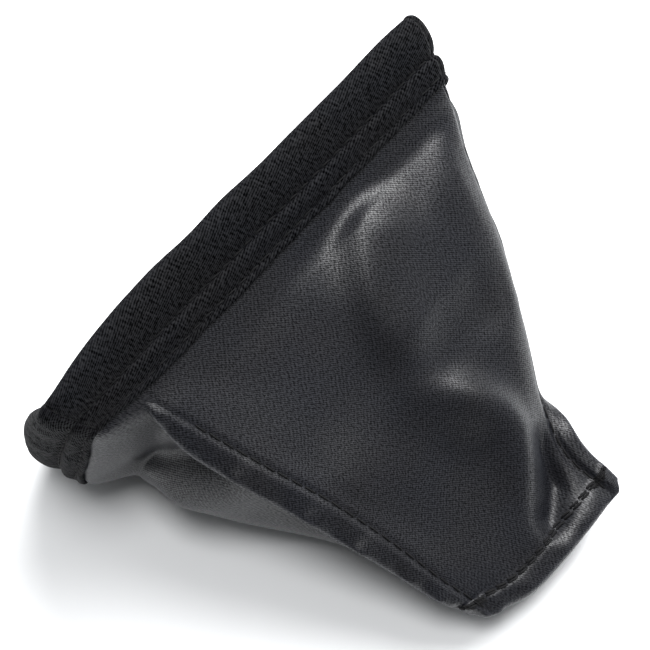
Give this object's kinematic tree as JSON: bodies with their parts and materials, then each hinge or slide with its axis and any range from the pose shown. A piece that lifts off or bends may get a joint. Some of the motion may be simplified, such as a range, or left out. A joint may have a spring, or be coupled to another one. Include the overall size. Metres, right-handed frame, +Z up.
{
  "type": "fabric snoot",
  "caption": "Soft four-sided light snoot of black satin with an elasticated mouth that narrows to a small square outlet, lying on one panel.",
  "frame": {"origin": "middle of the flat face that the snoot rests on, on the underside of its bottom panel", "axes": "+X is the heading of the throw, from the mouth to the outlet, +Y is to the left seen along the throw, +Z is up"},
  "size_m": [0.106, 0.1151, 0.0755],
  "materials": {
    "satin": "coated satin, soft gloss",
    "twill": "matte stretch twill",
    "elastic": "woven elastic, matte",
    "thread": "polyester thread, low sheen"
  },
  "bodies": {
    "root": {"panel_top": "satin", "mouth_band_top": "twill", "panel_left": "satin", "mouth_band_left": "twill", "panel_bottom": "satin", "mouth_band_bottom": "twill", "panel_right": "satin", "mouth_band_right": "twill", "mouth_elastic": "elastic", "elastic_join_thread": "thread", "seam_thread_top_right": "thread", "seam_thread_top_left": "thread", "seam_thread_bottom_left": "thread", "seam_thread_bottom_right": "thread", "casing_thread": "thread", "binding_thread": "thread", "outlet_hem_thread": "thread", "outlet_bar_tacks": "thread", "band_join_thread": "thread"}
  },
  "joints": []
}
